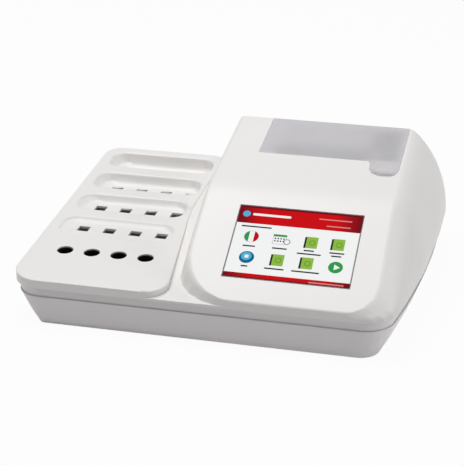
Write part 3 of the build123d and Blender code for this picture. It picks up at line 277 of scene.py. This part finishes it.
# %% Metals
tool_mark = 0.55 * mm
tool_relief = 0.02 * mm
streak_rise = 0.08
streak_fall = 0.1
no_direction = (1.0, 1.0, 1.0)
ground_lines = (1.0, 12.0, 12.0)
milled_lines = (1.0, 8.0, 8.0)


def metal(name, shade, roughness, stretch=no_direction):
    """A metal with a worked surface, whose marks are as much finer across as the stretch says."""
    material, output = new_material(name)
    place = add(material, "ShaderNodeTexCoord")
    turn = add(material, "ShaderNodeMapping", {"Scale": stretch}, {"Vector": place.outputs["Object"]})
    marks = add(
        material, "ShaderNodeTexNoise", {"Scale": scale_of(tool_mark), "Detail": 3.0},
        {"Vector": turn.outputs["Vector"]},
    )
    polish = add(
        material, "ShaderNodeMapRange",
        {"To Min": roughness - streak_rise, "To Max": roughness + streak_fall},
        {"Value": marks.outputs["Fac"]},
    )
    bump = add(
        material, "ShaderNodeBump", {"Strength": 0.15, "Distance": tool_relief},
        {"Height": marks.outputs["Fac"]},
    )
    shader = add(
        material, "ShaderNodeBsdfPrincipled", {"Base Color": colour(shade), "Metallic": 1.0},
        {"Roughness": polish.outputs["Result"], "Normal": bump.outputs["Normal"]},
    )
    join_output(material, output, shader)
    return material


# Plated and rolled surfaces are grey and even, ground and milled ones brighter with fine lines.
zinc_steel = metal("zinc_plated_steel", "#B9BABC", 0.35)
sheet_steel = metal("galvanised_sheet", "#A9ABAD", 0.42)
ground_steel = metal("ground_steel", "#C4C4C6", 0.25, ground_lines)
milled_aluminium = metal("milled_aluminium", "#C9CACC", 0.38, milled_lines)
turned_brass = metal("turned_brass", "#C9A35A", 0.3)
print("marks of the tool", round(tool_mark / mm, 2), "mm wide")

# %% [markdown]
# ## Rubber, boards, paper and glass
#
# The other inner parts don't shine like metal. One recipe serves them all, because what tells them apart is
# their colour, how matt they are and how coarse their grain is. Rubber, foam and the anodised cells are dark
# and matt, and swallow stray light. Solder mask, ceramic and epoxy are hard and glossy. Paper and card
# scatter all light. The display's cover glass is black behind, and so smooth that its relief is zero.

# %% Rubber, boards, paper and glass
even_grain = 0.83 * mm
even_relief = 0.03 * mm


def textured(name, shade, roughness, grain_width=even_grain, relief=even_relief, ior=1.5):
    """A material other than metal, with an even fine grain."""
    material, output = new_material(name)
    place = add(material, "ShaderNodeTexCoord")
    grain = add(
        material, "ShaderNodeTexNoise", {"Scale": scale_of(grain_width), "Detail": 4.0},
        {"Vector": place.outputs["Object"]},
    )
    bump = add(
        material, "ShaderNodeBump", {"Strength": 0.3, "Distance": relief}, {"Height": grain.outputs["Fac"]}
    )
    shader = add(
        material, "ShaderNodeBsdfPrincipled",
        {"Base Color": colour(shade), "Roughness": roughness, "IOR": ior},
        {"Normal": bump.outputs["Normal"]},
    )
    join_output(material, output, shader)
    return material


black_anodised = textured("black_anodised_aluminium", "#0C0C0D", 0.55, ior=1.45)
foot_rubber = textured("foot_rubber", "#232323", 0.75)
roller_rubber = textured("ground_roller_rubber", "#1B1B1C", 0.6)
gasket_foam = textured("gasket_foam", "#151515", 0.9, grain_width=0.33 * mm, relief=0.2 * mm)
heater_silicone = textured("heater_silicone", "#A8402A", 0.6)
solder_mask = textured("solder_mask_green", "#0E5B2E", 0.3)
black_epoxy = textured("moulded_epoxy", "#1A1A1A", 0.55)
clear_epoxy = textured("clear_epoxy", "#DDE2EA", 0.15)
natural_nylon = textured("natural_nylon", "#E8E4D6", 0.45)
glazed_ceramic = textured("glazed_ceramic", "#3A3836", 0.2)
thermal_paper = textured("thermal_paper", "#F6F6F4", 0.6, grain_width=0.2 * mm, relief=0.01 * mm)
grey_card = textured("grey_card", "#A98F6B", 0.8)
black_glass = textured("black_glass", "#0A0A0B", 0.08, relief=0.0)
print(len(bpy.data.materials), "materials so far")

# %% [markdown]
# ## Finish of each part
#
# Each part of the CAD frame is an object with its own mesh, so a part is finished by putting one material
# in its slot. The list reads like the parts list of the product.

# %% Give each part its finish
finishes = {
    "base_tub": base_abs, "cell_deck": white_abs, "trough_trays": white_abs, "well_bezels": white_abs,
    "top_cover": white_abs, "rubber_feet": foot_rubber, "case_screws": zinc_steel,
    "touch_glass": black_glass, "lcd_module": sheet_steel, "display_gasket": gasket_foam,
    "display_bracket": sheet_steel, "display_screws": zinc_steel, "printer_lid": lid_plastic,
    "lid_hinge_pins": ground_steel, "printer_tray": tray_abs, "printer_frame": sheet_steel,
    "platen_roller": roller_rubber, "platen_shaft": ground_steel, "platen_gear": natural_nylon,
    "motor_pinion": turned_brass, "motor_shaft": ground_steel, "printer_motor": sheet_steel,
    "print_head": glazed_ceramic, "head_sink": milled_aluminium, "tear_bar": ground_steel,
    "paper_roll": thermal_paper, "roll_core": grey_card, "heater_plate": milled_aluminium,
    "heater_pad": heater_silicone, "reading_cells": black_anodised, "led_board": solder_mask,
    "leds": clear_epoxy, "detector_board": solder_mask, "photodiodes": black_epoxy,
    "main_board": solder_mask, "board_screws": zinc_steel, "board_parts": black_epoxy,
    "power_jack": black_nylon, "switch_housing": black_nylon, "power_rocker": black_nylon,
    "usb_socket": ground_steel,
}
for row in range(1, 5):
    finishes[f"cuvette_rail_{row}"] = milled_aluminium
for name, node in nodes.items():
    node.data.materials.clear()
    node.data.materials.append(finishes[name])
print("finished", len(nodes), "parts")

# %% [markdown]
# ## Where the big walls are cut
#
# On the big mouldings the CAD mesh shows its flat facets, so they get a smooth skin in the next step. Some
# of the triangles reach from the foot of the pod to its roof, though, and smooth shading would smear the
# foot's light all the way up. So the steep walls are first cut in rows, which gives them points of their
# own at many heights, closer together near the foot, where the light changes most. The pod is cut along the
# sloping valley round its foot. Its rounded back is left out, because there the cuts would show as bands.
# The tub's leaning walls are straight from edge to edge, so they are cut all round.

# %% Rows of cuts
valley_front_height = 36.0 * mm
valley_slope = radians(5.07)
pod_cuts = {
    "foot": Vector((0, cad_low.y, valley_front_height)),
    "up": Vector((0, -sin(valley_slope), cos(valley_slope))),
    "heights": (0.6, 1.5, 4.0, 8.0, 14.0, 22.0, 32.0, 44.0, 58.0),
    "most_upward": 0.35,
    "most_backward": 0.5,
}
tub_cuts = {
    "foot": Vector((0, 0, 0)),
    "up": Vector((0, 0, 1)),
    "heights": (5.6, 7.0, 10.0, 14.0, 18.0, 22.0, 26.0),
    "most_upward": 0.8,
    "most_backward": 1.0,
}


def cut_rows(piece, foot, up, heights, most_upward, most_backward):
    """Cuts a piece in edit mode by planes at some heights, in mm, over its foot.

    Only steep faces are cut, whose normals point up or down, and back, no more than the two limits.
    """
    bpy.ops.mesh.select_mode(type="FACE")
    for height in heights:
        bpy.ops.object.mode_set(mode="OBJECT")
        for face in piece.data.polygons:
            face.select = abs(face.normal.z) < most_upward and face.normal.y <= most_backward
        bpy.ops.object.mode_set(mode="EDIT")
        bpy.ops.mesh.bisect(plane_co=foot + height * mm * up, plane_no=up)


print("rows for the pod", len(pod_cuts["heights"]), "and for the tub", len(tub_cuts["heights"]))

# %% [markdown]
# ## Smooth skins
#
# A CAD mesh is a net of loose flat triangles. Its copy is merged into one net, shaded smooth up to an edge
# angle, and weighted so that large flat faces stay flat. Subdivision would round the moulding's real edges
# too, so it isn't used. A smaller edge angle on the top cover keeps the light on its small rounds from
# spreading over the large faces next to them. Each skin then stands for its CAD part, which is hidden, and
# rides on the empty of its body.

# %% Smooth the mouldings
weld_distance = 0.002 * mm
flat_face_weight = 80


def smooth_skin(node_name, body, edge_angle=32, cuts=None):
    """A welded, smooth shaded copy of a node, which then stands for it."""
    bpy.ops.object.select_all(action="DESELECT")
    piece = bpy.data.objects.new(node_name + "_skin", nodes[node_name].data.copy())
    bpy.context.scene.collection.objects.link(piece)
    piece.select_set(True)
    bpy.context.view_layer.objects.active = piece
    bpy.ops.object.mode_set(mode="EDIT")
    bpy.ops.mesh.select_all(action="SELECT")
    bpy.ops.mesh.remove_doubles(threshold=weld_distance)
    if cuts:
        cut_rows(piece, **cuts)
    bpy.ops.object.mode_set(mode="OBJECT")
    bpy.ops.object.shade_smooth_by_angle(angle=radians(edge_angle))
    weigh = piece.modifiers.new("weigh", "WEIGHTED_NORMAL")
    weigh.keep_sharp = True
    weigh.weight = flat_face_weight
    bpy.ops.object.modifier_apply(modifier=weigh.name)
    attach(piece, body)
    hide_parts(node_name)
    print(piece.name, len(piece.data.polygons), "faces")


smooth_skin("cell_deck", "case")
smooth_skin("trough_trays", "case")
smooth_skin("top_cover", "case", edge_angle=18, cuts=pod_cuts)
smooth_skin("base_tub", "case", cuts=tub_cuts)
smooth_skin("printer_lid", "lid")

# %% [markdown]
# ## The picture on the display
#
# The display shows a menu: a red header and footer, a white field, and two rows of icons with a caption
# under each. It lies on the cover glass as thin films, one piece for each ink, like an overlay cut by hand,
# because films stay sharp however near the camera comes. Each starts as a plane or a filled circle. Round
# corners come from a bevel of its vertices, and the bands of a disc from bisecting it. The films are drawn
# flat, with X to the right and Y up the slope, both in millimetres from the middle of the glass. A film's
# level says how many steps it lies above the lowest one, so that a later film covers an earlier one.

# %% Shapes of film
film_step = 0.03 * mm
films = {}


def open_film(ink):
    """Notes the film that was just added under its ink, and opens it for shaping."""
    films.setdefault(ink, []).append(bpy.context.object)
    bpy.ops.object.mode_set(mode="EDIT")


def box(ink, level, x, y, width, height, corner=0.0):
    """A rectangular film round a middle point, with round corners."""
    bpy.ops.object.select_all(action="DESELECT")
    bpy.ops.mesh.primitive_plane_add(size=mm, location=(x * mm, y * mm, level * film_step))
    open_film(ink)
    bpy.ops.transform.resize(value=(width, height, 1.0))
    if corner:
        bpy.ops.mesh.bevel(offset=corner * mm, segments=3, affect="VERTICES")
    bpy.ops.object.mode_set(mode="OBJECT")


def disc(ink, level, x, y, radius, left=-1.0, right=1.0):
    """A round film, or the band of it between two shares of its radius."""
    bpy.ops.object.select_all(action="DESELECT")
    bpy.ops.mesh.primitive_circle_add(
        vertices=40, radius=radius * mm, fill_type="NGON", location=(x * mm, y * mm, level * film_step)
    )
    open_film(ink)
    for share in (left, right):
        if abs(share) < 1:
            bpy.ops.mesh.select_all(action="SELECT")
            bpy.ops.mesh.bisect(
                plane_co=((x + share * radius) * mm, 0, 0), plane_no=(1, 0, 0),
                clear_inner=share == left, clear_outer=share == right,
            )
    bpy.ops.object.mode_set(mode="OBJECT")


def arrow(ink, level, x, y, radius, corner):
    """A triangular film with round corners, which points to the right."""
    bpy.ops.object.select_all(action="DESELECT")
    bpy.ops.mesh.primitive_circle_add(
        vertices=3, radius=radius * mm, fill_type="NGON", location=(x * mm, y * mm, level * film_step),
        rotation=(0, 0, radians(-90)),
    )
    open_film(ink)
    bpy.ops.mesh.bevel(offset=corner * mm, segments=2, affect="VERTICES")
    bpy.ops.object.mode_set(mode="OBJECT")


print("levels", round(film_step / mm, 3), "mm apart")

# %% [markdown]
# ## Bars and icons of the menu
#
# The menu's field runs from edge to edge, and its header and footer darken towards their outer edges. Words
# are plain bars, as in a layout sketch. Each icon is a small drawing of its own, made of a few films round
# its middle, so that it can be moved as one. A heading stands above the icons, and a caption under each.

# %% Field, header and footer
screen_width = 109.6
screen_top = 40.6
screen_bottom = -40.2
header_low = 20.7
footer_high = -35.0
header_edge = 2.0
footer_edge = 1.2
edge_inset = 1.6
side_line = 0.6


def strip(ink, level, low, high, inset=0.0, corner=0.0):
    """A film across the screen, between two heights."""
    box(ink, level, 0, (low + high) / 2, screen_width - inset, high - low, corner)


strip("ink_white", 0, screen_bottom, screen_top, corner=0.8)
strip("ink_header", 1, header_low, screen_top, corner=0.8)
strip("ink_maroon", 2, screen_top - header_edge, screen_top, edge_inset)
strip("ink_header", 1, screen_bottom, footer_high, corner=0.8)
strip("ink_maroon", 2, screen_bottom, screen_bottom + footer_edge, edge_inset)
for side in (-1, 1):
    line_x = side * (screen_width - side_line) / 2
    box("ink_grey", 1, line_x, (header_low + footer_high) / 2, side_line, header_low - footer_high)
for x, y, width in ((31.3, 32.6, 29.0), (35.0, 25.3, 21.0), (34.5, -38.2, 30.0)):
    box("ink_rose", 3, x, y, width, 1.2, 0.4)
box("ink_white", 3, -25.0, 31.2, 34.0, 2.6, 0.8)
disc("ink_sky", 3, -47.6, 31.2, 3.4)
print("field", screen_width, "x", round(screen_top - screen_bottom, 1), "mm")

# %% Drawings of the icons
def caption(x, y, width):
    """A bar in place of a line of text."""
    box("ink_dark", 2, x, y, width, 1.5, 0.4)


def flag(x, y):
    """A round flag of three bands with a thin grey rim, for the choice of language."""
    disc("ink_grey", 2, x, y, 6.5)
    disc("ink_green", 3, x, y, 6.2, right=-0.36)
    disc("ink_white", 3, x, y, 6.2, left=-0.36, right=0.36)
    disc("ink_red", 3, x, y, 6.2, left=0.36)


def calendar(x, y):
    """A calendar leaf with a green head, two rows of days and a clock at its corner."""
    box("ink_grey", 2, x, y, 11.6, 10.4, 0.6)
    box("ink_white", 3, x, y, 11.0, 9.8, 0.4)
    box("ink_green", 4, x, y + 4.6, 12.0, 2.4, 0.5)
    for column in range(4):
        for row in range(2):
            box("ink_dark", 4, x - 3.8 + 2.5 * column, y + 1.2 - 2.8 * row, 1.3, 1.5)
    disc("ink_grey", 4, x + 6.8, y - 1.8, 3.2)
    disc("ink_white", 5, x + 6.8, y - 1.8, 2.2)


def book(x, y):
    """A green book with a dark spine and a round mark."""
    box("ink_dark", 2, x - 4.9, y - 0.2, 2.2, 12.4, 0.5)
    box("ink_leaf", 3, x + 0.7, y, 10.0, 12.6, 0.5)
    disc("ink_moss", 4, x + 1.0, y - 0.2, 2.9)
    disc("ink_leaf", 5, x + 1.0, y - 0.2, 2.0)


def blue_button(x, y):
    """A blue button, lighter towards its top, with a white square."""
    disc("ink_ocean", 2, x, y, 6.6)
    disc("ink_sky", 3, x - 0.4, y + 1.1, 4.6)
    box("ink_white", 4, x - 0.2, y + 0.9, 3.4, 3.4, 0.6)


def start_button(x, y):
    """A green button with a white arrow."""
    disc("ink_green", 2, x, y, 6.3)
    arrow("ink_white", 3, x + 0.4, y, 3.6, corner=0.4)


# %% Icons and captions
caption(-36.0, 17.1, 26.8)
flag(-38.4, 5.8)
calendar(-13.4, 5.0)
for x, y in ((14.4, 5.1), (37.7, 5.5), (-11.2, -17.7), (14.2, -18.0)):
    book(x, y)
blue_button(-38.0, -17.5)
start_button(39.6, -19.3)
for x, y, width in (
    (-38.6, -4.9, 11), (-11.7, -4.7, 13), (13.9, -4.1, 9), (14.5, -7.8, 21), (38.2, -4.0, 13),
    (38.2, -7.4, 9), (-38.2, -27.3, 6), (-12.2, -27.5, 17), (14.8, -27.6, 24),
):
    caption(x, y, width)
print("cut", sum(len(sheets) for sheets in films.values()), "films in", len(films), "inks")

# %% [markdown]
# ## Where the picture lies
#
# The cover glass leans back with the pod's panel. One matrix takes the flat picture there: it tips it by the
# slope and shifts it to the middle of the glass, so that its Y runs up the slope and its Z straight out of
# the glass. The lowest film starts a hair above the glass, because two faces in one place would flicker.

# %% Place of the picture
panel_slope = radians(26.5)
glass_thickness = 1.2 * mm
film_gap = 0.02 * mm
glass_low, glass_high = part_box("touch_glass")
panel_out = Vector((0, -sin(panel_slope), cos(panel_slope)))
panel_place = (
    Matrix.Translation((glass_low + glass_high) / 2 + panel_out * (glass_thickness / 2 + film_gap))
    @ Matrix.Rotation(panel_slope, 4, "X")
)
print("middle of the picture", [round(way / mm, 1) for way in panel_place.translation], "mm")

# %% [markdown]
# ## Inks that glow
#
# A liquid crystal display makes its own light, so an ink is a nearly black, smooth surface that emits the
# ink's colour. The coat of the real glass takes away most reflections, and a low IOR does the same. The red
# header and footer darken towards the ends of the screen. For that a Mapping node puts the origin in the
# middle of the glass, and the distance from it along X mixes the two reds.

# %% Inks of the display
glow_strength = 0.95
fade_start = 0.3 * screen_width * mm
fade_end = 0.5 * screen_width * mm
ink_shades = {
    "ink_white": "#F6F7F7", "ink_header": "#CB030A", "ink_maroon": "#6A0413", "ink_grey": "#9A9CA0",
    "ink_rose": "#E08A88", "ink_dark": "#23262C", "ink_leaf": "#8DBB45", "ink_moss": "#6E9A34",
    "ink_green": "#2E9A4C", "ink_sky": "#4FB2D8", "ink_ocean": "#12618F", "ink_red": "#C2040B",
}


def fade_to_ends(material, shader, middle_shade, end_shade):
    """Lets the glow fade from the middle of the screen to its left and right ends."""
    place = add(material, "ShaderNodeTexCoord")
    centre = add(
        material, "ShaderNodeMapping", {"Location": -panel_place.translation},
        {"Vector": place.outputs["Object"]},
    )
    across = add(material, "ShaderNodeSeparateXYZ", {}, {"Vector": centre.outputs["Vector"]})
    away = add(material, "ShaderNodeMath", {"operation": "ABSOLUTE"}, {0: across.outputs["X"]})
    share = add(
        material, "ShaderNodeMapRange", {"From Min": fade_start, "From Max": fade_end},
        {"Value": away.outputs[0]},
    )
    paint = add(
        material, "ShaderNodeMix",
        {"data_type": "RGBA", mix_first: colour(middle_shade), mix_second: colour(end_shade)},
        {"Factor": share.outputs["Result"]},
    )
    material.node_tree.links.new(paint.outputs[mix_result], shader.inputs["Emission Color"])


def screen_ink(name):
    """One colour of the lit display."""
    material, output = new_material(name)
    shader = add(material, "ShaderNodeBsdfPrincipled", {
        "Base Color": colour("#040405"), "Roughness": 0.12, "IOR": 1.05,
        "Emission Color": colour(ink_shades[name]), "Emission Strength": glow_strength,
    })
    join_output(material, output, shader)
    if name == "ink_header":
        fade_to_ends(material, shader, ink_shades[name], ink_shades["ink_maroon"])
    return material


print("the reds start to fade", round(fade_start / mm, 1), "mm from the middle")

# %% [markdown]
# ## Laying the films
#
# The films of one ink are joined, laid on the glass and given their thickness. Each step is applied, so the
# finished overlay sits at the origin like the CAD parts, with its place in its mesh.

# %% Lay the films on the glass
film_thickness = 0.015 * mm
for ink in ink_shades:
    bpy.ops.object.select_all(action="DESELECT")
    for sheet in films[ink]:
        sheet.select_set(True)
    overlay = films[ink][0]
    bpy.context.view_layer.objects.active = overlay
    if len(films[ink]) > 1:
        bpy.ops.object.join()
    bpy.ops.object.transform_apply()
    overlay.matrix_world = panel_place
    bpy.ops.object.transform_apply()
    thicken = overlay.modifiers.new("thicken", "SOLIDIFY")
    thicken.thickness = film_thickness
    bpy.ops.object.modifier_apply(modifier=thicken.name)
    overlay.name = "display_" + ink
    overlay.data.materials.append(screen_ink(ink))
    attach(overlay, "case")
    print(overlay.name, len(overlay.data.polygons), "faces")

# %% [markdown]
# ## The studio floor
#
# The analyser stands on a pale floor without a horizon, one wide sheet. A white background could come from
# strong lamps, but these would burn out the white case. So the floor's material asks what kind of ray has
# met it. For the camera's own rays, and for those by way of a gloss or a clear surface, it glows almost
# white, with a twentieth of its own paint left so that the shadow under the case stays. Any other ray finds
# pale paint.

# %% Floor
floor_size = 30.0
white_share = 0.95


def floor_material():
    """Pale paint that reads as white to the camera and keeps a soft shadow."""
    material, output = new_material("studio_floor")
    path = add(material, "ShaderNodeLightPath")
    seen = path.outputs["Is Camera Ray"]
    for kind_of_ray in ("Is Glossy Ray", "Is Transmission Ray"):
        either = add(
            material, "ShaderNodeMath", {"operation": "MAXIMUM"}, {0: seen, 1: path.outputs[kind_of_ray]}
        )
        seen = either.outputs[0]
    share = add(material, "ShaderNodeMath", {"operation": "MULTIPLY", 1: white_share}, {0: seen})
    paint = add(material, "ShaderNodeBsdfDiffuse", {"Color": colour("#DAD8D8")})
    glow = add(material, "ShaderNodeEmission", {"Color": colour("#FFFFFF"), "Strength": 1.0})
    mix = add(
        material, "ShaderNodeMixShader", {},
        {0: share.outputs[0], 1: paint.outputs[0], 2: glow.outputs[0]},
    )
    join_output(material, output, mix)
    return material


bpy.ops.object.select_all(action="DESELECT")
bpy.ops.mesh.primitive_plane_add(size=floor_size, location=(0, 0, 0))
floor = bpy.context.object
floor.name = "studio_floor"
floor.data.materials.append(floor_material())
print("floor", floor_size, "m wide")

# %% [markdown]
# ## Lamps and room
#
# A large lamp gives soft shadows and broad, gentle highlights, as product pictures have. One hangs overhead,
# a little to the left. A smaller and weaker one stands far out at the right, so that the pod's side isn't
# lost in shade. A plain grey room fills in the rest. Together they light a surface so that its colour comes
# out about as it is written.

# %% Lamps and room
lamp_target = Vector((0, 0, 0.05))
room_strength = 0.27


def soft_lamp(name, place, size, power):
    """A square area lamp that points at the case."""
    lamp_data = bpy.data.lights.new(name, "AREA")
    lamp_data.shape = "SQUARE"
    lamp_data.size = size
    lamp_data.energy = power
    lamp = bpy.data.objects.new(name, lamp_data)
    bpy.context.scene.collection.objects.link(lamp)
    lamp.location = place
    lamp.rotation_mode = "QUATERNION"
    lamp.rotation_quaternion = (lamp_target - Vector(place)).to_track_quat("-Z", "Y")


soft_lamp("overhead", (-0.5, 0.2, 2.0), size=1.4, power=31)
soft_lamp("right_side", (2.0, 0.2, 0.8), size=1.2, power=11)

room = bpy.data.worlds.new("studio_room")
bpy.context.scene.world = room
room.use_nodes = True
background = room.node_tree.nodes["Background"]
background.inputs["Color"].default_value = colour("#FFFFFF")
background.inputs["Strength"].default_value = room_strength
bpy.context.scene.view_settings.view_transform = "Standard"
print("lit by", len(bpy.data.lights), "lamps and the room")
